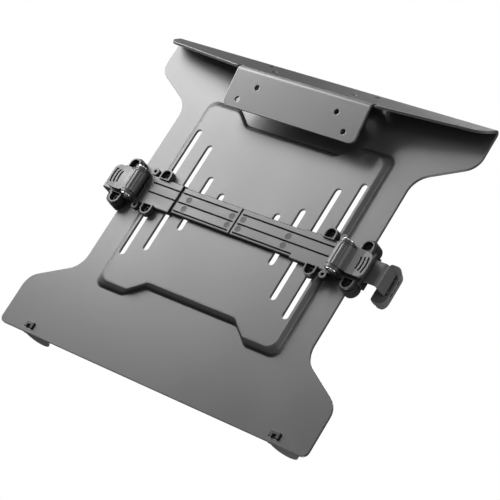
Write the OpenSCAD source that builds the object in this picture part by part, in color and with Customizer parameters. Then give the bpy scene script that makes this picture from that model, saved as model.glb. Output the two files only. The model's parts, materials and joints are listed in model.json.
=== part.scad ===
// Laptop tray that bolts to a monitor arm, with a two-jaw clamp bar on its underside.
// Every piece is drawn with the underside up, and the last lines turn it over:
// in use the laptop side is up. Left and right are the user's, who sits at -Y.

/* [Tray sheet] */
// Thickness of the steel sheet
sheet_t = 2; // [1.6:0.1:2.4]
// Width over the front wings
front_w = 297.6; // [286:0.2:310]
// Width over the rear wings
rear_w = 298.8; // [286:0.2:310]
// Width of the waist between the wings
waist_w = 217.2; // [212:0.2:222]
// Front edge, from the slots' centre line
front_y = 138.6; // [132:0.2:150]
// Front wings start to narrow here
front_wing_y = 98; // [94:0.5:102]
// Waist starts here, behind the front wings
front_waist_y = 75.5; // [72:0.5:80]
// Waist ends here, before the rear wings
rear_waist_y = 74; // [70:0.5:78]
// Rear wings reach full width here
rear_wing_y = 95.8; // [92:0.2:100]
// Radius of the front corners
front_r = 5; // [3:0.5:12]
// Radius of the wing shoulders
wing_r = 15; // [8:0.5:18]
// Radius where the wings run into the waist
waist_r = 18; // [10:0.5:22]

/* [Raised panel] */
// Height of the raised panel
panel_h = 4; // [3.6:0.1:4.6]
// Distance from the panel's foot to the waist's edge
panel_edge = 21.1; // [20.6:0.1:22]
// Half length of the panel's corners at their foot
panel_y = 83.8; // [80:0.1:86]
// Half length of the panel's middle at its foot
panel_mid_y = 72.6; // [70:0.1:76]
// Half width of the panel's middle
panel_mid_x = 44; // [40:0.5:48]
// Run of the panel's soft edge
panel_run = 5.6; // [5:0.1:5.8]
// Corner radius of the panel
panel_r = 7; // [4:0.5:9]

/* [Slots] */
// Width of the slots
slot_w = 5.2; // [4.8:0.1:5.6]
// Distance from the panel's foot to the outer slots
slot_edge = 8.85; // [8.6:0.05:9.2]
// Distance from slot to slot
slot_pitch = 17.3; // [17:0.1:17.6]
// Half lengths of the slots, from the middle outwards
slot_half = [14.4, 23.9, 47.3, 56.9];

/* [Rear flange and lip] */
// Sharp corner of the rear bend, from the slots' centre line
bend_y = 128.2; // [122:0.2:136]
// Angle that the sheet turns through at the rear bend
flange_turn = 129.8; // [125:0.2:134]
// Inside radius of the rear bend
bend_r = 1; // [0.8:0.1:1.6]
// Height of the flange at its ends
flange_end_h = 17.3; // [14:0.1:20]
// Radius of the flange's free corners
flange_r = 12; // [3:0.5:13]
// Height of the flange beside the lip
flange_mid_h = 31.6; // [30:0.1:32]
// Sharp corner between flange and lip, along the flange
lip_corner_h = 33.2; // [32.6:0.1:36]
// Angle that the sheet turns through from flange to lip
lip_turn = 61.3; // [56:0.1:66]
// Inside radius of the lip's bend
lip_bend_r = 2.5; // [1.5:0.1:3]
// Half width of the lip
lip_x = 62; // [57:0.5:64]
// Length of the lip from its sharp corner
lip_len = 31.6; // [30:0.1:36]
// Radius of the lip's free corners
lip_r = 5; // [3:0.5:8]
// Radius of the bolt holes
bolt_r = 2.25; // [2.1:0.05:2.5]
// Distance between the narrow pair of bolt holes
narrow_pair = 75; // [70:2.5:80]
// Distance between the wide pair of bolt holes
wide_pair = 100; // [95:2.5:105]
// Distance from the lip's sharp corner to its narrow pair
lip_pair_l = 12.4; // [11:0.1:13.5]
// Distance from the rear bend to the flange's wide pair
flange_pair_h = 9; // [8.5:0.1:10]
// Distance from the wide pair's line to the narrow pair's line
pair_step = 12.5; // [12:0.25:13]

/* [Front stops] */
// Place of each stop's clip from the middle
stop_x = 119.5; // [112:0.5:122]
// Width of a stop's round finger
stop_w = 23; // [20:0.5:25]
// Shift of both fingers to the left of their clips
stop_shift = 9.2; // [7:0.1:10]
// Thickness of a stop's foot and finger
stop_t = 2.2; // [1.8:0.1:2.6]
// Outward lean of a stop's round finger
stop_lean = 5; // [3:1:15]
// Thickness of a stop's rubber face
stop_pad_t = 1; // [0.6:0.1:1.4]
// Width of the hole that a stop clips into
clip_w = 9.5; // [9:0.1:11]
// Length of the hole that a stop clips into
clip_l = 4.8; // [4.6:0.1:5.4]
// Centre of the clip holes from the front edge
clip_in = 5.8; // [5.4:0.1:7]

/* [Clamp bar] */
// Place of the bar's centre line along the slots
clamp_y = -3.2; // [-20:0.2:20]
// Half width of the rail covers
rail_y = 11.3; // [10.8:0.1:11.6]
// Half width of the housings
house_y = 12.5; // [12.2:0.1:13]
// Top of the covers above the sheet
cover_z = 7.4; // [7.2:0.1:7.8]
// Thickness of the covers' top wall
cover_t = 1.6; // [1.4:0.1:1.7]
// Reach of the housings inwards from the outer slots
house_reach = 21.05; // [20.5:0.05:21.5]
// Reach of the housings past the waist's edge
house_over = 10.9; // [9:0.1:12]
// Gap between the right rail cover and the right end cover
right_gap = 3; // [1:0.5:4]
// Width of the grooves in the covers
groove_w = 1.3; // [0.8:0.1:1.5]
// Depth of the grooves in the covers
groove_d = 0.9; // [0.4:0.1:1]
// Half of the gap at the middle seam
seam_gap = 0.3; // [0.2:0.05:0.6]
// Distance from the housings' outer end to the outer screw posts
outer_post_in = 8.2; // [7.5:0.1:9]
// Distance of the posts from the bar's centre line
post_y = 14.85; // [14.6:0.05:15.4]
// Radius of the posts
post_r = 5; // [4.8:0.1:5.2]
// Top of the posts above the sheet
post_z = 9; // [8.8:0.1:9.4]
// Radius of the screws' shanks
screw_r = 2; // [1.8:0.05:2.1]

/* [Levers] */
// Distance from the housings' outer end to the lever pin
pin_in = 21.5; // [21:0.1:22]
// Height of the lever pin above the sheet
pin_z = 12.9; // [12.7:0.1:13.2]
// Radius of the lever pin
pin_r = 2; // [1.6:0.1:2.4]
// Radius of the lever's barrel
barrel_r = 6; // [5.8:0.1:6.1]
// Throw of the cam
cam_throw = 0.6; // [0.4:0.1:0.6]
// Half width of the lever's paddle
paddle_y = 9.8; // [9.4:0.1:10.2]
// Reach of the paddle past the housing
paddle_over = 3.1; // [1:0.1:6]
// Thickness of the paddle's edge
paddle_t = 2.8; // [2.4:0.1:3]

/* [Jaws] */
// Width of the jaw's steel arm
arm_w = 17.7; // [16:0.1:17.8]
// Thickness of the arm
arm_t = 1.5; // [1.2:0.1:1.5]
// Outside radius of the arm's bend
arm_bend_r = 3; // [2:0.5:4]
// Inner end of the arm from the middle
arm_in = 8; // [4:0.5:20]
// Distance from the housing to the outer face of the arm's turned-down end
arm_over = 11.8; // [10:0.1:14]
// Length of the jaw's grip block
jaw_w = 30; // [26:0.5:36]
// Thickness of the grip block
jaw_t = 11.8; // [11:0.1:13]
// Depth of the grip block's top below the sheet's face
jaw_top = 9; // [8:0.5:11]
// Depth of the grip block's end below the sheet's face
jaw_end = 20.8; // [20:0.2:30]
// How much thinner the grip block is at its end
jaw_taper = 4; // [2:0.2:4.4]
// Reach of the lip that holds the laptop down
jaw_lip = 5.3; // [3:0.1:7]
// Thickness of the jaw's rubber face
jaw_pad_t = 1.2; // [0.8:0.1:1.6]
// Radius of the rivets that hold the grip block
rivet_r = 1.5; // [1.2:0.1:1.8]

/* [Hidden] */
$fn = 48;

run_fit = 0.3;
slide_fit = 0.25;
pin_fit = 0.04;
touch = 0.1;
bend_lap = 1;

// Places that follow from the sheet
flange_angle = 180 - flange_turn;
bend_out_r = bend_r + sheet_t;
bend_run = bend_out_r * tan(flange_turn / 2);
flat_end_y = bend_y + sheet_t / tan(flange_angle) - bend_run;
flange_start = bend_run - sheet_t / sin(flange_angle);
lip_out_r = lip_bend_r + sheet_t;
lip_run = lip_out_r * tan(lip_turn / 2);
flange_stop = lip_corner_h - lip_run;
lip_corner = [0, bend_y + cos(flange_turn) * lip_corner_h, sin(flange_turn) * lip_corner_h];
lip_angle = flange_turn + lip_turn;
origin = lip_corner + lip_pair_l * [0, cos(lip_angle), sin(lip_angle)];
panel_x = waist_w / 2 - panel_edge;
slot_count = len(slot_half);
slot_at = [for (i = [1:slot_count]) panel_x - slot_edge - (slot_count - i) * slot_pitch];

// Places that follow from the clamp bar
inner_post_x = slot_at[3];
hook_x = slot_at[2];
house_in = inner_post_x - house_reach;
house_out = waist_w / 2 + house_over;
outer_post_x = house_out - outer_post_in;
pin_x = house_out - pin_in;
paddle_out = house_out + paddle_over;
arm_out = house_out + arm_over;
rail_end = house_in - run_fit;
under_cover = cover_z - cover_t;
arm_z = panel_h + touch;
arm_top = arm_z + arm_t;
channel_y = arm_w / 2 + slide_fit;
foot_x = panel_x + 1;
edge_x = waist_w / 2 + 0.6;
floor_z = 0.2;
well_in = pin_x - barrel_r - 0.9;
well_out = pin_x + barrel_r + 1;
ear_in = house_y - 3.1;
ear_out = house_y - 0.7;
seat_z = panel_h + 0.6;
ring_r = 3;
ring_x = foot_x + 1.6;
ring_y = house_y + 2.6;
groove_ys = [6.6, -1.3, -8.9];
mark_in = 5.3;
mark_r = 2.5;
mark_d = 0.15;
seam_chamfer = 0.8;
base_plate_t = 2.1;
screw_end = -sheet_t + 0.5;
post_step = 0.3;
post_flat = post_y - house_y + 1.6;
boss_r = post_r + 1.5;
grip_in = arm_out + 3.3 - jaw_t;
arm_tip = jaw_top + 7;

function unit(v) = v / norm(v);

// Arc that rounds the corner b between a and c, with n steps
function rounded_corner(a, b, c, r, n) =
    let (u = unit(a - b), w = unit(c - b), half = acos(u * w) / 2)
    let (mid = b + unit(u + w) * r / sin(half), turn = 180 - 2 * half)
    let (from = b + u * r / tan(half) - mid, to = b + w * r / tan(half) - mid)
    [for (i = [0:n]) mid + (from * sin(turn * (1 - i / n)) + to * sin(turn * i / n)) / sin(turn)];

// Outline through points [x, y, radius]
function rounded(points, n = 8) =
    let (last = len(points) - 1)
    [for (i = [0:last])
        let (a = points[i == 0 ? last : i - 1], b = points[i], c = points[i == last ? 0 : i + 1])
        each (b[2] > 0
            ? rounded_corner([a.x, a.y], [b.x, b.y], [c.x, c.y], b[2], n)
            : [[b.x, b.y]])];

// The same points and their mirror images across the middle
function both_halves(half) =
    concat(half, [for (i = [len(half) - 1:-1:0]) [-half[i].x, half[i].y, half[i][2]]]);

function arc(r, from, to, n = 12) =
    [for (i = [0:n]) let (a = from + (to - from) * i / n) [r * cos(a), r * sin(a)]];

// Extrudes a profile drawn in Y and Z along X, from x0 to x1
module along_x(x0, x1) {
    translate([x0, 0, 0])
        rotate([90, 0, 90])
            linear_extrude(x1 - x0)
                children();
}

// Extrudes a profile drawn in X and Z along Y, centred, w wide
module along_y(w) {
    translate([0, w / 2, 0])
        rotate([90, 0, 0])
            linear_extrude(w)
                children();
}

module box(x0, x1, y0, y1, z0, z1) {
    translate([x0, y0, z0])
        cube([x1 - x0, y1 - y0, z1 - z0]);
}

// Bent stretch of sheet: its outside starts at the origin along Y and turns towards Z.
// Short flat ends run into the flats that it joins
module sheet_bend(inner_r, turn, w) {
    outer_r = inner_r + sheet_t;
    ahead = bend_lap * [cos(turn), sin(turn)];
    behind = [-bend_lap, 0];
    outside = arc(outer_r, 270, 270 + turn);
    inside = arc(inner_r, 270 + turn, 270);
    last = len(outside) - 1;
    translate([0, 0, outer_r])
        along_x(-w / 2, w / 2)
            polygon(concat(
                [outside[0] + behind],
                outside,
                [outside[last] + ahead, inside[0] + ahead],
                inside,
                [inside[last] + behind]));
}

module plate_outline() {
    polygon(rounded(both_halves([
        [front_w / 2, -front_y, front_r],
        [front_w / 2, -front_wing_y, wing_r],
        [waist_w / 2, -front_waist_y, waist_r],
        [waist_w / 2, rear_waist_y, waist_r],
        [rear_w / 2, rear_wing_y, wing_r],
        [rear_w / 2, flat_end_y, 0]
    ])));
}

// Bow-tie outline of the raised panel at its foot
function panel_points() =
    let (step = panel_y - panel_mid_y, corner_x = panel_mid_x + 1.3 * step)
    rounded(both_halves([
        [panel_mid_x, -panel_mid_y, panel_r],
        [corner_x, -panel_y, panel_r],
        [panel_x, -panel_y, panel_r + 1],
        [panel_x, panel_y, panel_r + 1],
        [corner_x, panel_y, panel_r],
        [panel_mid_x, panel_mid_y, panel_r]
    ]), 6);

// Sloping block under the panel's outline, from z0 to z1, drawn in by inset0 and inset1
module panel_block(z0, z1, inset0, inset1) {
    foot = [(panel_x - inset0) / panel_x, (panel_y - inset0) / panel_y];
    head = [(panel_x - inset1) / panel_x, (panel_y - inset1) / panel_y];
    translate([0, 0, z0])
        linear_extrude(z1 - z0, slices = 1, scale = [head.x / foot.x, head.y / foot.y])
            scale(foot)
                polygon(panel_points());
}

module slot(x, half) {
    translate([x, 0])
        union() {
            square([slot_w, 2 * half - slot_w], center = true);
            for (end = [-1, 1])
                translate([0, end * (half - slot_w / 2)])
                    circle(d = slot_w);
        }
}

module flange_outline() {
    relief_r = 1.3;
    relief_x = lip_x + relief_r;
    difference() {
        union() {
            polygon(rounded(both_halves([
                [rear_w / 2, flange_start, 0],
                [rear_w / 2, flange_end_h, flange_r],
                [lip_x + 4, flange_mid_h, 1.5]
            ])));
            translate([-lip_x, flange_start])
                square([2 * lip_x, flange_stop - flange_start]);
        }
        for (side = [-1, 1])
            translate([side * relief_x, flange_mid_h - 3]) {
                circle(r = relief_r);
                translate([-relief_r, 0])
                    square([2 * relief_r, 10]);
            }
        bolt_pair(flange_pair_h, wide_pair);
        bolt_pair(flange_pair_h + pair_step, narrow_pair);
    }
}

module bolt_pair(along, pair) {
    for (side = [-1, 1])
        translate([side * pair / 2, along])
            circle(r = bolt_r);
}

module lip_outline() {
    difference() {
        polygon(rounded(both_halves([[lip_x, lip_run, 0], [lip_x, lip_len, lip_r]])));
        bolt_pair(lip_pair_l, narrow_pair);
        bolt_pair(lip_pair_l + pair_step, wide_pair);
    }
}

module tray() {
    color([0.30, 0.30, 0.31]) {
        difference() {
            union() {
                translate([0, 0, -sheet_t])
                    linear_extrude(sheet_t)
                        plate_outline();
                panel_block(-sheet_t / 2, panel_h, -0.3 * sheet_t, panel_run - 1);
            }
            panel_block(-1.25 * sheet_t, panel_h - sheet_t, 0, panel_run - 0.2 * sheet_t);
            translate([0, 0, -sheet_t])
                linear_extrude(3 * panel_h)
                    for (i = [0:len(slot_at) - 1], side = [-1, 1])
                        slot(side * slot_at[i], slot_half[i]);
            for (side = [-1, 1])
                translate([side * stop_x - clip_w / 2, -front_y + clip_in - clip_l / 2, -2 * sheet_t])
                    cube([clip_w, clip_l, 4 * sheet_t]);
        }
        translate([0, flat_end_y, -sheet_t])
            sheet_bend(bend_r, flange_turn, rear_w);
        translate([0, bend_y, 0])
            rotate([flange_turn, 0, 0]) {
                linear_extrude(sheet_t)
                    flange_outline();
                translate([0, flange_stop, 0])
                    sheet_bend(lip_bend_r, lip_turn, 2 * lip_x);
            }
        translate(lip_corner)
            rotate([lip_angle, 0, 0])
                linear_extrude(sheet_t)
                    lip_outline();
    }
}

// Half disc that hangs from the line y = 0, r wide each way
module half_disc(r) {
    intersection() {
        circle(r = r);
        translate([-r, -r])
            square([2 * r, r]);
    }
}

// Sets a plate of thickness t on the stop's round finger, from its inner face outwards
module on_finger(t, shift = 0) {
    translate([stop_shift, stop_t - front_y, -sheet_t - stop_t / 2])
        rotate([90 - stop_lean, 0, 0])
            translate([0, 0, shift])
                linear_extrude(t)
                    children();
}

// Stop: a foot on the laptop side, flush with the front edge, a round finger that leans
// outwards, and a hooked prong through the clip hole
module stop() {
    foot_z = -sheet_t - stop_t;
    prong_y = -front_y + clip_in;
    prong_x = clip_w / 2 - 1.15;
    color([0.10, 0.10, 0.11]) {
        box(run_fit - clip_w / 2, stop_shift + stop_w / 2, -front_y, prong_y + 5, foot_z, -sheet_t);
        on_finger(stop_t)
            half_disc(stop_w / 2);
        difference() {
            box(-prong_x, prong_x, prong_y - 1.9, prong_y + 1.9, -sheet_t - 0.5, 1.3);
            box(-prong_x / 2, prong_x / 2, prong_y - 3, prong_y + 0.6, -sheet_t + 0.2, 2);
        }
        box(-prong_x, prong_x, prong_y + 1.9, prong_y + 2.9, 0.1, 1.3);
    }
}

module stop_pad() {
    color([0.05, 0.05, 0.05])
        intersection() {
            on_finger(stop_pad_t, -stop_pad_t)
                half_disc(stop_w / 2 - 1.5);
            translate([0, 0, -sheet_t - stop_t])
                box(-2 * stop_w, 2 * stop_w, -2 * front_y, 0, -3 * stop_w, 0);
        }
}

// D shape that is round outside and flat towards the bar, which lies at -Y from it
module post_shape(r, flat) {
    intersection() {
        union() {
            circle(r = r);
            translate([-r, -r])
                square([2 * r, r]);
        }
        translate([-2 * r, -flat])
            square([4 * r, 4 * r]);
    }
}

module at_posts() {
    for (x = [inner_post_x, outer_post_x], end = [0, 1])
        mirror([0, end, 0])
            translate([x, post_y, 0])
                children();
}

module housing_foot() {
    translate([house_in, -house_y])
        square([house_out - house_in, 2 * house_y]);
    for (end = [0, 1])
        mirror([0, end, 0]) {
            translate([inner_post_x, post_y])
                circle(r = post_r + post_step);
            translate([outer_post_x, post_y])
                circle(r = boss_r);
        }
}

// Round head of the ear that carries the lever pin, on its straight neck
module ear_profile() {
    ear_r = barrel_r - 0.6;
    translate([pin_x, pin_z])
        circle(r = ear_r);
    translate([pin_x - ear_r, under_cover - 1])
        square([2 * ear_r, pin_z - under_cover + 1]);
}

module hook_leg() {
    leg_x = slot_w / 2 - 0.2;
    sill = panel_h - sheet_t;
    box(-leg_x, leg_x, -1.3, 1.3, sill - 1.1, under_cover);
    box(-leg_x - 1, leg_x + 1, -1.3, 1.3, sill - 1.1, sill - 0.15);
}

module ring_lug() {
    translate([0, 0, under_cover - 1.4])
        linear_extrude(4)
            difference() {
                circle(r = ring_r);
                circle(r = ring_r - 1.7);
            }
}

module housing() {
    color([0.13, 0.13, 0.14])
        difference() {
            union() {
                translate([0, 0, panel_h])
                    linear_extrude(under_cover - panel_h)
                        housing_foot();
                translate([0, 0, floor_z])
                    linear_extrude(panel_h - floor_z)
                        intersection() {
                            housing_foot();
                            translate([foot_x, -2 * house_y])
                                square([house_out, 4 * house_y]);
                        }
                box(well_in + 0.2, house_out, -house_y, house_y, under_cover - 1, cover_z);
                translate([0, 0, under_cover - 1])
                    linear_extrude(post_z - under_cover + 1)
                        at_posts()
                            post_shape(post_r, post_flat);
                for (end = [0, 1])
                    mirror([0, end, 0]) {
                        translate([0, (ear_in + ear_out) / 2, 0])
                            along_y(ear_out - ear_in)
                                ear_profile();
                        translate([hook_x, 10, 0])
                            hook_leg();
                        translate([ring_x, ring_y, 0])
                            ring_lug();
                    }
            }
            box(house_in - 1, house_out + 1, -channel_y, channel_y, panel_h, under_cover + 0.01);
            box(well_in, well_out, -ear_in, ear_in, under_cover - 0.5, 30);
            translate([0, 0, seat_z])
                linear_extrude(20)
                    at_posts()
                        post_shape(post_r - 1.2, post_flat - 0.75);
            translate([0, 0, -20])
                linear_extrude(40)
                    at_posts()
                        circle(r = screw_r + 0.1);
            translate([pin_x, 0, pin_z])
                rotate([90, 0, 0])
                    cylinder(r = pin_r + pin_fit / 2, h = 60, center = true);
        }
}

// Cross-section of a cover, half width w, with rounded top edges and an open channel
module cover_profile(w, sill) {
    difference() {
        polygon(rounded([[-w, sill, 0], [w, sill, 0], [w, cover_z, 1.2], [-w, cover_z, 1.2]], 5));
        translate([-channel_y, sill - 1])
            square([2 * channel_y, under_cover - sill + 1]);
    }
}

// Grooves along a cover at the given distances from its middle
module cover_grooves(ys, x0, x1) {
    for (y = ys)
        box(x0, x1, y - groove_w / 2, y + groove_w / 2, cover_z - groove_d, cover_z + 1);
}

// Shallow round marks left by the mould's pins
module mould_marks(x) {
    for (i = [0, 1])
        translate([x, (groove_ys[i] + groove_ys[i + 1]) / 2, cover_z - mark_d])
            cylinder(r = mark_r, h = 1);
}

module rail_part(x1) {
    difference() {
        union() {
            along_x(seam_gap, x1)
                cover_profile(rail_y, panel_h);
            box(seam_gap, seam_gap + 1.5, -rail_y + 1, rail_y - 1, panel_h, cover_z - 1);
        }
        cover_grooves(groove_ys, seam_gap + 2, x1 + 1);
        mould_marks(mark_in);
        mould_marks(rail_end - mark_in - 4.4);
        translate([seam_gap, 0, cover_z])
            rotate([0, 45, 0])
                cube([seam_chamfer, 4 * rail_y, seam_chamfer], center = true);
    }
}

module end_cover_part(x0) {
    difference() {
        along_x(x0, well_in)
            cover_profile(house_y, under_cover);
        cover_grooves([groove_ys[0], groove_ys[1]], x0 - 1, well_in - 4.6);
        linear_extrude(2 * cover_z)
            at_posts()
                post_shape(post_r + touch, post_flat + touch);
        for (end = [-1, 1])
            translate([ring_x, end * ring_y, 0])
                cylinder(r = ring_r + touch, h = 2 * cover_z);
    }
}

module left_cover() {
    color([0.20, 0.20, 0.21])
        union() {
            rail_part(rail_end);
            end_cover_part(rail_end);
        }
}

module right_cover() {
    color([0.20, 0.20, 0.21])
        end_cover_part(house_in + right_gap - 1);
}

module right_rail_cover() {
    color([0.20, 0.20, 0.21])
        rail_part(house_in - 1);
}

module base_plate() {
    color([0.12, 0.12, 0.13])
        translate([0, 0, floor_z - base_plate_t])
            linear_extrude(base_plate_t)
                difference() {
                    intersection() {
                        housing_foot();
                        translate([edge_x, -2 * house_y])
                            square([house_out, 4 * house_y]);
                    }
                    at_posts()
                        circle(r = screw_r + pin_fit / 2);
                }
}

module post_screws() {
    color([0.62, 0.62, 0.64])
        for (x = [inner_post_x, outer_post_x], end = [-1, 1])
            translate([x, end * post_y, 0])
                difference() {
                    union() {
                        translate([0, 0, seat_z])
                            cylinder(r = post_r - 2.1, h = 1.6);
                        translate([0, 0, screw_end])
                            cylinder(r = screw_r, h = seat_z + touch - screw_end);
                    }
                    translate([0, 0, seat_z + 0.7])
                        cylinder(r = 1.4, h = 2, $fn = 6);
                }
}

// Washer and nut of each inner post, inside the recess on the laptop side
module slot_nuts() {
    sill = panel_h - sheet_t;
    nut_r = 1.85 * screw_r;
    color([0.66, 0.66, 0.68])
        for (end = [-1, 1])
            translate([inner_post_x, end * post_y, 0])
                difference() {
                    union() {
                        translate([0, 0, sill - 0.8])
                            cylinder(r = slot_w / 2 + 0.9, h = 0.8);
                        translate([0, 0, -sheet_t + 0.4])
                            cylinder(r = nut_r, h = sill + sheet_t - 1, $fn = 6);
                    }
                    translate([0, 0, -10])
                        cylinder(r = screw_r + pin_fit / 2, h = 20);
                }
}

module lever_pin() {
    head_y = ear_out + 0.05;
    color([0.80, 0.80, 0.82])
        translate([pin_x, 0, pin_z])
            rotate([90, 0, 0])
                rotate_extrude()
                    polygon(concat(
                        [[0, -head_y - 1.6]],
                        [for (a = [0:15:75]) [2.2 * sin(a + 15), -head_y - 0.7 - 0.9 * cos(a + 15)]],
                        [[barrel_r - 1.4, -head_y - 0.7], [barrel_r - 1.4, -head_y]],
                        [[pin_r, -head_y], [pin_r, head_y]],
                        [[barrel_r - 1.4, head_y], [barrel_r - 1.4, head_y + 0.7]],
                        [for (a = [75:-15:0]) [2.2 * sin(a + 15), head_y + 0.7 + 0.9 * cos(a + 15)]],
                        [[0, head_y + 1.6]]));
}

// Pressure shoe between the cam and the arm
module shoe() {
    cam_foot = pin_z - cam_throw - barrel_r;
    color([0.55, 0.55, 0.57])
        box(pin_x - 5, pin_x + 5, -channel_y + 0.4, channel_y - 0.4, arm_top + touch, cam_foot - touch);
}

module paddle_plan() {
    polygon(rounded([
        [pin_x, -barrel_r - 3, 0],
        [well_out + 2, -barrel_r - 3, 0],
        [well_out + 3, -paddle_y, 0],
        [paddle_out, -paddle_y, 5],
        [paddle_out, paddle_y, 5],
        [well_out + 3, paddle_y, 0],
        [well_out + 2, barrel_r + 3, 0],
        [pin_x, barrel_r + 3, 0]
    ]));
}

module paddle_profile() {
    top = pin_z;
    polygon([
        [pin_x, pin_z - 3],
        [well_out, top - 3.2],
        [paddle_out + 1, top - paddle_t],
        [paddle_out + 1, top + 0.1],
        [paddle_out - 8, top - 0.4],
        [well_out + 3, top - 0.2],
        [well_out - 0.5, top + 0.7],
        [pin_x, top + 4]
    ]);
}

module lever() {
    centre_z = pin_z - cam_throw;
    color([0.22, 0.22, 0.23])
        difference() {
            union() {
                translate([pin_x, 0, centre_z])
                    rotate([90, 0, 0])
                        cylinder(r = barrel_r, h = 2 * (ear_in - run_fit), center = true, $fn = 72);
                intersection() {
                    linear_extrude(40)
                        paddle_plan();
                    along_y(4 * paddle_y)
                        paddle_profile();
                }
            }
            translate([pin_x, 0, pin_z])
                rotate([90, 0, 0])
                    cylinder(r = pin_r + pin_fit, h = 60, center = true);
            for (a = [62, 92, 122])
                translate([pin_x, 0, centre_z])
                    rotate([0, -a, 0])
                        translate([barrel_r + 1.5, 0, 0])
                            rotate([90, 0, 0])
                                cylinder(r = 2, h = 2 * ear_in - 2.4, center = true, $fn = 32);
            for (i = [0:2])
                thumb_groove(20 - 0.9 * i, paddle_out - 2.2 - 3 * i, 6.2 - 0.7 * i);
        }
}

// Curved thumb groove of radius r whose middle lies at x, reaching half either way
module thumb_groove(r, x, half) {
    translate([0, 0, pin_z - 1.2])
        linear_extrude(3)
            intersection() {
                translate([x - r, 0])
                    difference() {
                        circle(r = r + 0.65, $fn = 96);
                        circle(r = r - 0.65, $fn = 96);
                    }
                translate([x - 8, -half])
                    square([12, 2 * half]);
            }
}

// Steel strip that runs in the channel and turns down outside the housing
module arm() {
    centre = [arm_out - arm_bend_r, arm_top - arm_bend_r];
    color([0.16, 0.16, 0.17])
        difference() {
            along_y(arm_w)
                polygon(concat(
                    [[arm_in, arm_z], [arm_in, arm_top]],
                    [for (p = arc(arm_bend_r, 90, 0, 8)) p + centre],
                    [[arm_out, -arm_tip], [arm_out - arm_t, -arm_tip]],
                    [for (p = arc(arm_bend_r - arm_t, 0, 90, 8)) p + centre]));
            at_rivets()
                cylinder(r = rivet_r + pin_fit / 2, h = 40, center = true);
        }
}

// Plan of the grip block, from its inner face at x = 0
module grip_plan() {
    half = jaw_w / 2;
    polygon(rounded([[0, -half, 2], [jaw_t, -half, 6], [jaw_t, half, 6], [0, half, 2]], 6));
}

module grip() {
    pocket_y = arm_w / 2 + touch;
    lip_half = jaw_w / 2 - 2;
    lip_in = grip_in - jaw_lip;
    rim = 1.7;
    narrowing = [(jaw_t - jaw_taper) / jaw_t, 0.96];
    color([0.18, 0.18, 0.19])
        difference() {
            union() {
                translate([grip_in, 0, -jaw_top])
                    mirror([0, 0, 1])
                        linear_extrude(jaw_end - jaw_top, slices = 1, scale = narrowing)
                            grip_plan();
                translate([0, 0, -jaw_end])
                    linear_extrude(2.4)
                        polygon(rounded([
                            [lip_in, -lip_half, 3],
                            [grip_in + 3, -lip_half, 0],
                            [grip_in + 3, lip_half, 0],
                            [lip_in, lip_half, 3]
                        ]));
            }
            box(arm_out - arm_t - touch, arm_out + touch, -pocket_y, pocket_y, -arm_tip - touch, 0);
            box(arm_out, grip_in + jaw_t - rim, -pocket_y + 1, pocket_y - 1, -arm_tip + 1, 0);
            at_rivets()
                cylinder(r = rivet_r + pin_fit / 2, h = 2 * jaw_t - 8, center = true);
        }
}

module at_rivets() {
    for (end = [-1, 1])
        translate([arm_out - arm_t / 2, end * 4.6, -(jaw_top + arm_tip) / 2])
            rotate([0, 90, 0])
                children();
}

module grip_rivets() {
    inner = arm_out - arm_t / 2 - grip_in;
    color([0.60, 0.60, 0.62])
        at_rivets() {
            translate([0, 0, -inner])
                cylinder(r = rivet_r, h = inner + arm_t / 2 + touch / 2);
            translate([0, 0, arm_t / 2 + touch / 2])
                cylinder(r = 1.5 * rivet_r, h = 0.8);
        }
}

module grip_pad() {
    color([0.06, 0.06, 0.06])
        translate([grip_in - jaw_pad_t, 0, -jaw_end + 2.4])
            rotate([90, 0, 90])
                linear_extrude(jaw_pad_t)
                    translate([-jaw_w / 2 + 3, 0])
                        square([jaw_w - 6, jaw_end - jaw_top - 3.4]);
}

// Turns the drawn part over and puts its origin at the lip's narrow bolt pair
module in_use() {
    rotate([0, 180, 0])
        translate(-origin)
            children();
}

module on_left() {
    in_use()
        translate([0, clamp_y, 0])
            children();
}

module on_right() {
    in_use()
        translate([0, clamp_y, 0])
            mirror([1, 0, 0])
                children();
}

in_use() tray();
in_use() translate([stop_x, 0, 0]) stop();  // left_stop
in_use() translate([-stop_x, 0, 0]) stop();  // right_stop
in_use() translate([stop_x, 0, 0]) stop_pad();  // left_stop_pad
in_use() translate([-stop_x, 0, 0]) stop_pad();  // right_stop_pad
on_left() housing();  // left_housing
on_right() housing();  // right_housing
on_left() left_cover();
on_right() right_cover();
on_right() right_rail_cover();
on_left() base_plate();  // left_base_plate
on_right() base_plate();  // right_base_plate
on_left() post_screws();  // left_post_screws
on_right() post_screws();  // right_post_screws
on_left() slot_nuts();  // left_slot_nuts
on_right() slot_nuts();  // right_slot_nuts
on_left() lever_pin();  // left_lever_pin
on_right() lever_pin();  // right_lever_pin
on_left() shoe();  // left_shoe
on_right() shoe();  // right_shoe
on_left() lever();  // left_lever
on_right() lever();  // right_lever
on_left() arm();  // left_arm
on_right() arm();  // right_arm
on_left() grip();  // left_grip
on_right() grip();  // right_grip
on_left() grip_pad();  // left_grip_pad
on_right() grip_pad();  // right_grip_pad
on_left() grip_rivets();  // left_grip_rivets
on_right() grip_rivets();  // right_grip_rivets
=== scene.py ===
# Studio scene for the laptop tray mount: finishes, fitted surfaces, camera and light.
import json
import bpy
import numpy as np
from mathutils import Matrix, Vector


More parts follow.
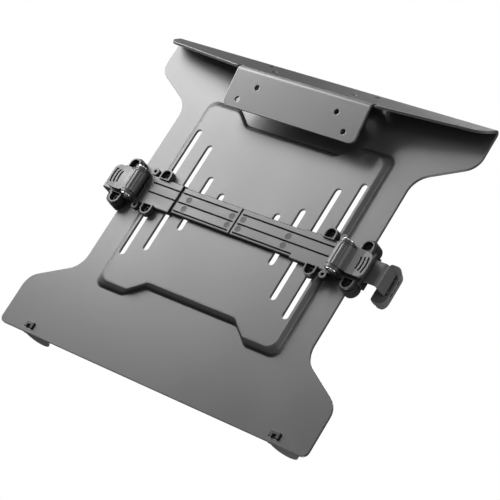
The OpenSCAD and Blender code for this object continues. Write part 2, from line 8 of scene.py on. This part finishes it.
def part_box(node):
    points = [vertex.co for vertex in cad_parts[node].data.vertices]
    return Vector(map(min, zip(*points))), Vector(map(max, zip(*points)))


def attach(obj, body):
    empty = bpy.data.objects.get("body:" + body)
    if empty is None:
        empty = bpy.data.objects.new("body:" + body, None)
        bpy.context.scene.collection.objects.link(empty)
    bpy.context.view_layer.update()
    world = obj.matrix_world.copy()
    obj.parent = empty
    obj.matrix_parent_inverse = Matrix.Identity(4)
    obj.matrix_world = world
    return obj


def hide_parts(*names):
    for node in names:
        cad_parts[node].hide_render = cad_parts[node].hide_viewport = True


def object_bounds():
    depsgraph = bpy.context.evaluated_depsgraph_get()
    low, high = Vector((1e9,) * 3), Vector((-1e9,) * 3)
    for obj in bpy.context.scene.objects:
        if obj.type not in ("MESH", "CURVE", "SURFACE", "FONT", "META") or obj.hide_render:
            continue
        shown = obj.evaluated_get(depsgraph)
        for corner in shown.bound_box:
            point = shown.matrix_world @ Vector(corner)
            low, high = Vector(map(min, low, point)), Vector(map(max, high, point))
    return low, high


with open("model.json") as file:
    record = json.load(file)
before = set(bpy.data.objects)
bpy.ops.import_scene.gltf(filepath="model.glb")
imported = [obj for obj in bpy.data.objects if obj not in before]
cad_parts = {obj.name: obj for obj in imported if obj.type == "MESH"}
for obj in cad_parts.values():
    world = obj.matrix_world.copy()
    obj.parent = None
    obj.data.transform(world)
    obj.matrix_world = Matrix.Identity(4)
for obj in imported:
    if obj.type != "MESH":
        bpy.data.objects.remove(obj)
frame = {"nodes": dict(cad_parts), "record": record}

cadLow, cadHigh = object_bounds()
nodes = frame["nodes"]
scene = bpy.context.scene
print("stage: frame loaded,", len(nodes), "nodes")

white = (1, 1, 1, 1)


# A material with one Principled shader, ready to be wired
def newMaterial(name):
    material = bpy.data.materials.new(name)
    material.use_nodes = True
    tree = material.node_tree
    tree.nodes.clear()
    output = tree.nodes.new("ShaderNodeOutputMaterial")
    shader = tree.nodes.new("ShaderNodeBsdfPrincipled")
    tree.links.new(shader.outputs["BSDF"], output.inputs["Surface"])
    return material, tree, shader


# One shader node; inputs may be numbers, colours or another node's sockets
def addNode(tree, kind, inputs=None, **settings):
    node = tree.nodes.new(kind)
    for key, value in settings.items():
        setattr(node, key, value)
    for key, value in (inputs or {}).items():
        if isinstance(value, bpy.types.NodeSocket):
            tree.links.new(value, node.inputs[key])
        else:
            node.inputs[key].default_value = value
    return node


# Sockets to the shader's inputs of the same names
def wire(tree, shader, sockets):
    for key, socket in sockets.items():
        tree.links.new(socket, shader.inputs[key])


# Place on the piece, in metres times a scale for each axis
def placeCoords(tree, scale=(1, 1, 1)):
    coords = addNode(tree, "ShaderNodeTexCoord")
    mapping = addNode(tree, "ShaderNodeMapping", {
        "Vector": coords.outputs["Object"], "Scale": scale})
    return mapping.outputs["Vector"]


def noiseValue(tree, vector, scale, detail=2.0, rough=0.5):
    noise = addNode(tree, "ShaderNodeTexNoise", {
        "Vector": vector, "Scale": scale, "Detail": detail, "Roughness": rough})
    return noise.outputs["Fac"]


# The value's range "within", spread over the range "to" and held at its ends
def spread(tree, value, to=(0, 1), within=(0.35, 0.65)):
    ramp = addNode(tree, "ShaderNodeMapRange", {
        "Value": value, "From Min": within[0], "From Max": within[1],
        "To Min": to[0], "To Max": to[1]})
    return ramp.outputs["Result"]


# Colour a where the factor is 0, and b where it is 1; the node's sockets go by their numbers
def mixColour(tree, factor, a, b):
    return addNode(tree, "ShaderNodeMix", {0: factor, 6: a, 7: b}, data_type="RGBA").outputs[2]


def maths(tree, operation, *values):
    return addNode(tree, "ShaderNodeMath", dict(enumerate(values)), operation=operation).outputs[0]


# Grey of a level from 0 to 1, with that share of warmth
def grey(level, warm=0.0):
    return (level * (1 + warm), level, level * (1 - warm), 1.0)


# Softened normal, and how far it leaves the face's own: 0 on flats, up to 1 on edges, by
# the cosine between the two
def roundedEdges(tree, radius):
    bevel = addNode(tree, "ShaderNodeBevel", {"Radius": radius}, samples=6)
    face = addNode(tree, "ShaderNodeNewGeometry")
    cosine = addNode(tree, "ShaderNodeVectorMath", {
        0: bevel.outputs["Normal"], 1: face.outputs["True Normal"]}, operation="DOT_PRODUCT")
    edge = spread(tree, cosine.outputs["Value"], (1, 0), within=(0.8, 0.995))
    return bevel.outputs["Normal"], edge


# Bump of a strength and a distance in metres, over a softened normal where one is given
def bumped(tree, height, bump, normal=None):
    inputs = {"Height": height, "Strength": bump[0], "Distance": bump[1]}
    if normal is not None:
        inputs["Normal"] = normal
    return addNode(tree, "ShaderNodeBump", inputs).outputs["Normal"]


# 0 at the first of two heights and 1 at the second, in metres along the frame's Z, which
# points away from the underside
def heightShare(tree, place, heights):
    parts = addNode(tree, "ShaderNodeSeparateXYZ", {"Vector": place})
    return spread(tree, parts.outputs["Z"], within=heights)


# Edges turn from the edge tone to a near-white painted highlight between two heights, where flange
# and lip are
coatLook = {
    "grey": 0.080, "dark": 0.068, "shine": 0.9, "rough": (0.38, 0.46),
    "driftSize": 11, "driftWithin": (0.3, 0.7),
    "speck": 0.115, "grainSize": 4200, "speckShare": (0, 0.5), "speckWithin": (0.52, 0.72),
    "peelSize": 1100, "bump": (0.16, 0.00008),
    "bend": 0.0007, "edge": 0.24, "paleTone": 0.85, "lowEdgeHighlight": (0.014, 0.008),
    "scuffSize": 160, "scuffShare": (0.25, 0.6), "scuffWithin": (0.45, 0.7),
}


# Baked powder coat: broad tone drift, fine specks, orange peel, and lighter edges, partly wear
# where scuffed and partly a painted highlight, near white low on flange and lip
def powderCoat(name, look):
    material, tree, shader = newMaterial(name)
    place = placeCoords(tree)
    broad = noiseValue(tree, place, look["driftSize"])
    specks = noiseValue(tree, place, look["grainSize"], detail=1.0)
    peel = noiseValue(tree, place, look["peelSize"])
    scuffs = noiseValue(tree, place, look["scuffSize"], detail=4.0, rough=0.65)
    soft, edge = roundedEdges(tree, look["bend"])
    drift = spread(tree, broad, within=look["driftWithin"])
    tone = mixColour(tree, drift, grey(look["dark"]), grey(look["grey"]))
    speckled = mixColour(tree, spread(tree, specks, look["speckShare"], look["speckWithin"]),
                         tone, grey(look["speck"]))
    # Painted highlight: edges low on flange and lip are painted near white
    lowEdgeHighlight = heightShare(tree, place, look["lowEdgeHighlight"])
    scuffed = spread(tree, scuffs, look["scuffShare"], look["scuffWithin"])
    # Edges lighten where scuffed, as wear, and low on flange and lip, as painted highlight
    wearAndHighlight = maths(tree, "MULTIPLY", edge, maths(tree, "MAXIMUM", scuffed, lowEdgeHighlight))
    edgeTone = mixColour(tree, lowEdgeHighlight, grey(look["edge"]), grey(look["paleTone"]))
    shader.inputs["Specular IOR Level"].default_value = look["shine"]
    wire(tree, shader, {
        "Base Color": mixColour(tree, wearAndHighlight, speckled, edgeTone),
        "Roughness": spread(tree, broad, look["rough"]),
        "Normal": bumped(tree, maths(tree, "ADD", peel, specks), look["bump"], soft)})
    return material


stripLook = {
    "grey": 0.17, "dark": 0.12, "driftSize": 30, "rough": (0.33, 0.5),
    "paleTone": 0.36, "lineScale": (12, 900, 900), "lineShare": (0, 0.35), "lineWithin": (0.58, 0.75),
    "bend": 0.0004, "edgeShare": (0, 0.35), "bump": (0.12, 0.00006),
}


# Coated strip steel with fine rub lines along the way it slides
def coatedStrip(name, look):
    material, tree, shader = newMaterial(name)
    lines = noiseValue(tree, placeCoords(tree, look["lineScale"]), 1.0, detail=4.0, rough=0.6)
    broad = noiseValue(tree, placeCoords(tree), look["driftSize"])
    soft, edge = roundedEdges(tree, look["bend"])
    paleTone = grey(look["paleTone"])
    tone = mixColour(tree, broad, grey(look["dark"]), grey(look["grey"]))
    rubbed = mixColour(tree, spread(tree, lines, look["lineShare"], look["lineWithin"]), tone, paleTone)
    wire(tree, shader, {
        "Base Color": mixColour(tree, spread(tree, edge, look["edgeShare"], (0, 1)), rubbed, paleTone),
        "Roughness": spread(tree, lines, look["rough"]),
        "Normal": bumped(tree, lines, look["bump"], soft)})
    return material


# The recess heights run from a moulding's top face down to where its recesses take the whole
# painted shade tone.
# Where a look has a painted highlight tone, a paler tone on the higher part of the moulding, it
# takes over between that tone's two heights
coverLook = {
    "grey": 0.075, "dark": 0.062, "edge": 0.14, "shine": 0.8, "rough": (0.40, 0.50),
    "grain": 2600, "dust": 0.16, "bend": 0.0002, "recess": (0.01574, 0.01606), "pitShade": 0.002,
    "paintedHighlight": 0.14, "paintedHighlightFrom": (0.0222, 0.0230),
}
leverLook = {
    "grey": 0.080, "dark": 0.070, "edge": 0.15, "shine": 0.65, "rough": (0.36, 0.46),
    "grain": 2200, "dust": 0.06, "bend": 0.0006, "recess": (0.0106, 0.0116), "pitShade": 0.035,
}
housingLook = {
    "grey": 0.042, "dark": 0.032, "edge": 0.30, "shine": 0.7, "rough": (0.38, 0.50),
    "grain": 2400, "dust": 0.10, "bend": 0.00045, "recess": (0.0150, 0.0180), "pitShade": 0.005,
}
stopLook = {
    "grey": 0.065, "dark": 0.050, "edge": 0.60, "shine": 0.5, "rough": (0.34, 0.46),
    "grain": 2000, "dust": 0.06, "bend": 0.0005, "recess": (0.030, 0.060), "pitShade": 0.020,
    "paintedHighlight": 0.10, "paintedHighlightFrom": (0.0270, 0.0290),
}
mouldLook = {
    "flowScale": (1, 2.4, 2.4), "flowSize": 70, "dustSize": 700, "dustWithin": (0.6, 0.78),
    "edgeShare": (0, 0.4), "recessRough": 0.95, "bump": (0.08, 0.00005),
}


# Spark-eroded mould grain with slow flow marks, a painted highlight on edges and painted shade in
# recesses
def mouldedPlastic(name, look):
    material, tree, shader = newMaterial(name)
    place = placeCoords(tree)
    cells = addNode(tree, "ShaderNodeTexVoronoi", {"Vector": place, "Scale": look["grain"]})
    flow = noiseValue(tree, placeCoords(tree, mouldLook["flowScale"]), mouldLook["flowSize"],
                      detail=3.0, rough=0.55)
    dust = noiseValue(tree, place, mouldLook["dustSize"], detail=4.0, rough=0.7)
    soft, edge = roundedEdges(tree, look["bend"])
    colour = mixColour(tree, spread(tree, flow), grey(look["dark"]), grey(look["grey"]))
    dusty = spread(tree, dust, (0, look["dust"]), mouldLook["dustWithin"])
    colour = mixColour(tree, dusty, colour, grey(look["edge"]))
    # Painted shade: darker the deeper below the top face, in grooves, marks, hollows and side walls
    recess = heightShare(tree, place, look["recess"])
    colour = mixColour(tree, recess, colour, grey(look["pitShade"]))
    # Painted highlight: a paler tone beyond a given height, on the higher part of the moulding
    if "paintedHighlight" in look:
        paintedHighlight = heightShare(tree, place, look["paintedHighlightFrom"])
        colour = mixColour(tree, paintedHighlight, colour, grey(look["paintedHighlight"]))
    # Painted highlight on edges
    lit = spread(tree, edge, mouldLook["edgeShare"], (0, 1))
    rough = spread(tree, flow, look["rough"])
    shader.inputs["Specular IOR Level"].default_value = look["shine"]
    wire(tree, shader, {
        "Base Color": mixColour(tree, lit, colour, grey(look["edge"])),
        "Roughness": spread(tree, recess, (rough, mouldLook["recessRough"]), (0, 1)),
        "Normal": bumped(tree, cells.outputs["Distance"], mouldLook["bump"], soft)})
    return material


rubberLook = {
    "grey": 0.030, "bloom": 0.060, "bloomSize": 160, "bloomWithin": (0.5, 0.8),
    "grain": 2400, "rough": (0.66, 0.80), "bump": (0.25, 0.00008),
}


# Matte rubber with a pale bloom and a fine open grain
def softRubber(name, look):
    material, tree, shader = newMaterial(name)
    place = placeCoords(tree)
    bloom = noiseValue(tree, place, look["bloomSize"], detail=4.0, rough=0.6)
    grain = noiseValue(tree, place, look["grain"])
    wire(tree, shader, {
        "Base Color": mixColour(tree, spread(tree, bloom, within=look["bloomWithin"]),
                                grey(look["grey"]), grey(look["bloom"])),
        "Roughness": spread(tree, grain, look["rough"]),
        "Normal": bumped(tree, grain, look["bump"])})
    return material


zincLook = {"light": 0.56, "dark": 0.36, "rough": (0.26, 0.42), "warm": 0.012}
brightLook = {"light": 0.66, "dark": 0.50, "rough": (0.20, 0.32), "warm": 0.0}
blackedLook = {"light": 0.060, "dark": 0.025, "rough": (0.34, 0.55), "warm": 0.0}
platingLook = {
    "turnedScale": (700, 5200, 700), "cloudSize": 420, "cloudWithin": (0.3, 0.7),
    "bend": 0.0002, "bump": (0.15, 0.00004),
}


# Plated or blackened steel: turning marks round the pins, and cloudy plating
def platedSteel(name, look):
    material, tree, shader = newMaterial(name)
    turned = noiseValue(tree, placeCoords(tree, platingLook["turnedScale"]), 1.0)
    clouds = noiseValue(tree, placeCoords(tree), platingLook["cloudSize"], detail=4.0, rough=0.6)
    soft, _ = roundedEdges(tree, platingLook["bend"])
    shader.inputs["Metallic"].default_value = 1.0
    wire(tree, shader, {
        "Base Color": mixColour(tree, spread(tree, clouds, within=platingLook["cloudWithin"]),
                                grey(look["dark"], look["warm"]),
                                grey(look["light"], look["warm"])),
        "Roughness": spread(tree, turned, look["rough"]),
        "Normal": bumped(tree, turned, platingLook["bump"], soft)})
    return material


finishes = {
    "tray_coat": powderCoat("trayPowderCoat", coatLook),
    "arm_coat": coatedStrip("coatedStripSteel", stripLook),
    "stop_plastic": mouldedPlastic("stopPlastic", stopLook),
    "housing_plastic": mouldedPlastic("housingPlastic", housingLook),
    "cover_plastic": mouldedPlastic("coverPlastic", coverLook),
    "lever_plastic": mouldedPlastic("leverPlastic", leverLook),
    "rubber_face": softRubber("rubberFace", rubberLook),
    "zinc_steel": platedSteel("zincSteel", zincLook),
    "shoe_steel": platedSteel("shoeSteel", zincLook),
    "bright_steel": platedSteel("brightSteel", brightLook),
    "black_steel": platedSteel("blackedSteel", blackedLook),
}
for part in frame["record"]["subparts"]:
    mesh = nodes[part["node"]].data
    mesh.materials.clear()
    mesh.materials.append(finishes[part["material_slot"]])

# The part is drawn with its underside up, in millimetres; this is where its origin is drawn
drawnOrigin = {"y": 94.780, "z": 23.120}


# Drawn points, in millimetres, turned over into the frame, in metres
def fromDrawing(x, y, z):
    x, y, z = np.broadcast_arrays(x, y, z)
    return np.stack([-x, y - drawnOrigin["y"], drawnOrigin["z"] - z], -1) / 1000


# Quads between neighbours of a grid of points, closed along either direction where asked
def gridFaces(rows, columns, closeRows=False, closeColumns=False):
    index = np.arange(rows * columns).reshape(rows, columns)
    if closeRows:
        index = np.concatenate([index, index[:1]], 0)
    if closeColumns:
        index = np.concatenate([index, index[:, :1]], 1)
    quads = np.stack([index[:-1, :-1], index[1:, :-1], index[1:, 1:], index[:-1, 1:]], -1)
    return quads.reshape(-1, 4)


# Smooth piece from points and faces, on its body and with its record slot's finish
def addPiece(name, points, faces, body, slot):
    mesh = bpy.data.meshes.new(name)
    mesh.from_pydata(points.reshape(-1, 3).tolist(), [], faces.tolist())
    mesh.polygons.foreach_set("use_smooth", np.ones(len(mesh.polygons), bool))
    mesh.materials.append(finishes[slot])
    mesh.update()
    piece = bpy.data.objects.new(name, mesh)
    scene.collection.objects.link(piece)
    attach(piece, body)
    return piece


# Lengths in millimetres. "from" and "to" are insets from the panel's foot, "lift" keeps the
# surface just over the solid's, and "fold" is how deep in the sheet the profile closes
panelEdge = {
    "halfWidth": 87.5, "halfLength": 83.8, "middleX": 44.0, "middleY": 72.6, "slant": 1.3,
    "radius": 7.0, "sideRadius": 8.0, "height": 4.0, "from": -1.5, "to": 4.62,
    "lift": 0.025, "fold": 0.5, "arcSteps": 12, "sideSteps": 24, "curveSteps": 20,
}


# Closed outline with rounded corners: every corner is an arc of its own radius that touches
# both sides, from the corner's half angle, and the arcs' ends are joined by straight runs
def roundedOutline(corners, radii, arcSteps, sideSteps):
    corners = np.asarray(corners, float)
    radii = np.asarray(radii, float)[:, None]
    before = np.roll(corners, 1, 0) - corners
    after = np.roll(corners, -1, 0) - corners
    before /= np.linalg.norm(before, axis=1, keepdims=True)
    after /= np.linalg.norm(after, axis=1, keepdims=True)
    half = np.arccos((before * after).sum(1, keepdims=True)) / 2
    middle = before + after
    middle = corners + middle / np.linalg.norm(middle, axis=1, keepdims=True) * radii / np.sin(half)
    start = corners + before * radii / np.tan(half) - middle
    end = corners + after * radii / np.tan(half) - middle
    turn = np.pi - 2 * half
    t = np.linspace(0, 1, arcSteps)[None, :, None]
    arcs = middle[:, None] + (start[:, None] * np.sin(turn[:, None] * (1 - t))
                              + end[:, None] * np.sin(turn[:, None] * t)) / np.sin(turn[:, None])
    s = np.linspace(0, 1, sideSteps + 1)[None, 1:-1, None]
    sides = arcs[:, -1:] * (1 - s) + np.roll(arcs, -1, 0)[:, :1] * s
    return np.concatenate([arcs, sides], 1).reshape(-1, 2)


# Soft pressed edge of the raised panel. The panel's outline is drawn in by an inset that runs
# from outside the foot to the top, and the height follows the smooth step 3t^2 - 2t^3 of
# the inset's share t. A fold inside the sheet closes the profile
def addPanelEdge(look):
    step = look["halfLength"] - look["middleY"]
    cornerX = look["middleX"] + look["slant"] * step
    quarter = [(look["middleX"], -look["middleY"]), (cornerX, -look["halfLength"]),
               (look["halfWidth"], -look["halfLength"])]
    right = quarter + [(x, -y) for x, y in quarter[::-1]]
    corners = right + [(-x, y) for x, y in right[::-1]]
    radii = [look["radius"], look["radius"], look["sideRadius"],
             look["sideRadius"], look["radius"], look["radius"]] * 2
    outline = roundedOutline(corners, radii, look["arcSteps"], look["sideSteps"])
    t = np.linspace(0, 1, look["curveSteps"])
    inset = look["from"] + (look["to"] - look["from"]) * t
    height = look["lift"] + look["height"] * (3 * t ** 2 - 2 * t ** 3)
    inset = np.append(inset, [look["to"], look["from"]])
    height = np.append(height, [look["height"] - look["fold"], -look["fold"]])
    shareX = (look["halfWidth"] - inset) / look["halfWidth"]
    shareY = (look["halfLength"] - inset) / look["halfLength"]
    points = fromDrawing(outline[:, None, 0] * shareX, outline[:, None, 1] * shareY, height)
    rows, columns = points.shape[:2]
    faces = gridFaces(rows, columns, closeRows=True, closeColumns=True)
    mesh = addPiece("panelEdge", points, faces, "tray", "tray_coat").data
    ends = np.empty(2 * len(mesh.edges), np.int32)
    mesh.edges.foreach_get("vertices", ends)
    column = ends.reshape(-1, 2) % columns
    sharp = (column[:, 0] == column[:, 1]) & np.isin(column[:, 0], [0, look["curveSteps"] - 1])
    mesh.edges.foreach_set("use_edge_sharp", sharp)


addPanelEdge(panelEdge)
print("stage: soft panel edge")


# Rise of a pad from its rim: 0 at both ends of a share from 0 to 1, and nearly 1 between. A
# higher "rim" makes the flat wider, and a lower "shoulder" makes its edge fuller
def padRise(share, look):
    return (1 - np.abs(2 * share - 1) ** look["rim"]) ** look["shoulder"]


# Two grids that meet all round their rims, made one closed piece in place of a node
def addPillow(name, front, back, flip, body, node):
    rows, columns = front.shape[:2]
    index = np.arange(rows * columns).reshape(rows, columns)
    under = index + rows * columns
    under[0], under[-1], under[:, 0], under[:, -1] = index[0], index[-1], index[:, 0], index[:, -1]
    faces = gridFaces(rows, columns)
    lower = under.ravel()[faces][:, ::-1]
    faces = np.concatenate([faces, lower])
    if flip:
        faces = faces[:, ::-1]
    points = np.concatenate([front.reshape(-1, 3), back.reshape(-1, 3)])
    used, faces = np.unique(faces, return_inverse=True)
    piece = addPiece(name, points[used], faces.reshape(-1, 4), body, "rubber_face")
    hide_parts(node)


# "deep" is the share of the thickness that a valley takes away, and "back" is in metres
ribbedPad = {"ribs": 5, "deep": 0.42, "rim": 14, "shoulder": 0.3, "across": 28, "along": 61,
             "back": 0.00002}


# Ribbed rubber face of a jaw. Its height over the block is the rim's rise across times the
# rim's rise down, times 1 less a share of the cosine squared that makes the ribs' valleys.
# The back is the same grid laid nearly flat, and both meet at the rim
def addRibbedPad(side, look):
    low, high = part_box(side + "_grip_pad")
    inwards = 1 if side == "left" else -1
    u = np.linspace(0, 1, look["across"])[:, None]
    v = np.linspace(0, 1, look["along"])[None, :]
    valley = look["deep"] * np.cos(np.pi * look["ribs"] * v) ** 2
    rise = padRise(u, look) * padRise(v, look) * (1 - valley)
    thick = high[0] - low[0]
    seat = low[0] if inwards > 0 else high[0]
    y = low[1] + (high[1] - low[1]) * u + 0 * v
    z = low[2] + (high[2] - low[2]) * v + 0 * u
    front = np.stack([seat + inwards * thick * rise, y, z], -1)
    back = np.stack([seat + inwards * look["back"] * rise, y, z], -1)
    addPillow(side + "GripPad", front, back, inwards < 0, side + "_jaw", side + "_grip_pad")


for side in ("left", "right"):
    addRibbedPad(side, ribbedPad)
print("stage: ribbed jaw pads")

# Lengths in millimetres, as drawn. The seat is the middle of the finger's straight side
stopPad = {
    "radius": 10.0, "seatY": -136.4, "seatZ": -3.1, "lean": 5.0, "thick": 1.0, "top": 1.2,
    "rim": 12, "shoulder": 0.3, "crown": 0.25, "across": 41, "down": 25, "back": 0.02,
}


# Domed rubber face of a stop. A square grid a, b goes to a half disc by a * sqrt(1 - b^2 / 2)
# and b * sqrt(1 - a^2 / 2), and rises by both rims times a crown that is highest in the middle.
# The half disc then leans back with the stop's finger
def addStopPad(side, look):
    low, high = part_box(side + "_stop_pad")
    middleX = -1000 * (low[0] + high[0]) / 2
    a = np.linspace(-1, 1, look["across"])[:, None]
    b = np.linspace(0, 1, look["down"])[None, :]
    x = middleX + look["radius"] * a * np.sqrt(1 - b ** 2 / 2)
    down = look["top"] + (look["radius"] - look["top"]) * b * np.sqrt(1 - a ** 2 / 2)
    rise = padRise((a + 1) / 2, look) * padRise(b, look)
    rise = rise * (1 - look["crown"] * (1 - (1 - a ** 2) * (1 - (2 * b - 1) ** 2)))
    lean = np.radians(look["lean"])
    front, back = [fromDrawing(x, look["seatY"] - down * np.sin(lean) + out * np.cos(lean),
                               look["seatZ"] - down * np.cos(lean) - out * np.sin(lean))
                   for out in (look["thick"] * rise, look["back"] * rise)]
    addPillow(side + "StopPad", front, back, False, "tray", side + "_stop_pad")


for side in ("left", "right"):
    addStopPad(side, stopPad)
print("stage: domed stop pads")

# Fitted to the photograph; the directions are the camera's own, in the frame
cameraView = {
    "place": (-0.79272, -0.44552, -0.96366),
    "right": (-0.75191221, 0.51051355, 0.4171378),
    "up": (0.28111113, 0.82060463, -0.49757872),
    "back": (-0.59632588, -0.25687343, -0.76053368),
    "lens": 131.22, "sensor": 36, "near": 0.02, "far": 30,
}
cameraData = bpy.data.cameras.new("studioCamera")
cameraData.lens = cameraView["lens"]
cameraData.sensor_width = cameraView["sensor"]
cameraData.clip_start, cameraData.clip_end = cameraView["near"], cameraView["far"]
camera = bpy.data.objects.new("studioCamera", cameraData)
scene.collection.objects.link(camera)
pose = np.eye(4)
pose[:3, :3] = np.array([cameraView["right"], cameraView["up"], cameraView["back"]]).T
pose[:3, 3] = cameraView["place"]
camera.matrix_world = Matrix(pose.tolist())
scene.camera = camera


# Strength of a background: plain light for the part, its own for the camera, and a share in
# reflections and glass
def seenStrength(tree, plain, seen, reflected):
    rays = addNode(tree, "ShaderNodeLightPath")
    direct = spread(tree, rays.outputs["Is Camera Ray"], (plain, seen), (0, 1))
    glossy = maths(tree, "MULTIPLY_ADD", rays.outputs["Is Glossy Ray"], reflected, direct)
    return maths(tree, "MULTIPLY_ADD", rays.outputs["Is Transmission Ray"], reflected, glossy)


stageLook = {
    "floorZ": -1.35, "floorSize": 60.0, "floor": 0.35, "drift": 0.02, "driftSize": 3,
    "rough": 0.8, "pale": 0.80, "reflected": 0.20,
}


# Plain pale floor, well below the part
def stageFloor(look):
    half = look["floorSize"] / 2
    corners = [(x, y, look["floorZ"])
               for x, y in ((-half, -half), (half, -half), (half, half), (-half, half))]
    mesh = bpy.data.meshes.new("studioFloor")
    mesh.from_pydata(corners, [], [(0, 1, 2, 3)])
    floor = bpy.data.objects.new("studioFloor", mesh)
    scene.collection.objects.link(floor)
    material, tree, shader = newMaterial("paleFloor")
    shader.inputs["Roughness"].default_value = look["rough"]
    shader.inputs["Emission Color"].default_value = white
    wire(tree, shader, {
        "Base Color": mixColour(tree, noiseValue(tree, placeCoords(tree), look["driftSize"]),
                                grey(look["floor"] - look["drift"]),
                                grey(look["floor"] + look["drift"])),
        "Emission Strength": seenStrength(tree, 0.0, look["pale"], look["reflected"])})
    mesh.materials.append(material)


stageFloor(stageLook)

worldLook = {"ambient": 0.05, "seen": 1.0, "reflected": 0.10}
world = bpy.data.worlds.new("studioWorld")
scene.world = world
world.use_nodes = True
tree = world.node_tree
tree.nodes.clear()
strength = seenStrength(tree, worldLook["ambient"], worldLook["seen"], worldLook["reflected"])
sky = addNode(tree, "ShaderNodeBackground", {"Color": white, "Strength": strength})
addNode(tree, "ShaderNodeOutputWorld", {"Surface": sky.outputs["Background"]})

# Lamp places are from the middle of the part, in metres
middle = (cadLow + cadHigh) / 2
lamps = {
    "upperLeftBox": {"at": (0.50, 0.32, -0.38), "size": (0.50, 0.36), "watts": 6.4},
    "leftBox": {"at": (0.90, 0.17, -0.19), "size": (0.40, 0.35), "watts": 2.0},
    "cameraFill": {"at": (-0.95, 0.10, -0.90), "size": (0.9, 0.9), "watts": 1.2},
    "underBox": {"at": (-0.30, 0.30, -1.05), "size": (0.3, 0.3), "watts": 0.8},
    "rightBox": {"at": (-0.92, 0.18, 0.0), "size": (0.4, 0.4), "watts": 2.2},
    "frontBox": {"at": (-0.05, -0.75, 0.60), "size": (0.4, 0.4), "watts": 3.0},
    "topBox": {"at": (0.38, 0.38, 0.80), "size": (0.8, 0.8), "watts": 14.0},
}
for name, lamp in lamps.items():
    lampData = bpy.data.lights.new(name, "AREA")
    lampData.shape = "RECTANGLE"
    lampData.size, lampData.size_y = lamp["size"]
    lampData.energy = lamp["watts"]
    light = bpy.data.objects.new(name, lampData)
    scene.collection.objects.link(light)
    away = Vector(lamp["at"])
    light.location = middle + away
    light.rotation_mode = "QUATERNION"
    light.rotation_quaternion = away.to_track_quat("Z", "Y")
print("stage: camera and", len(lamps), "lamps")

scene.view_settings.view_transform = "Standard"
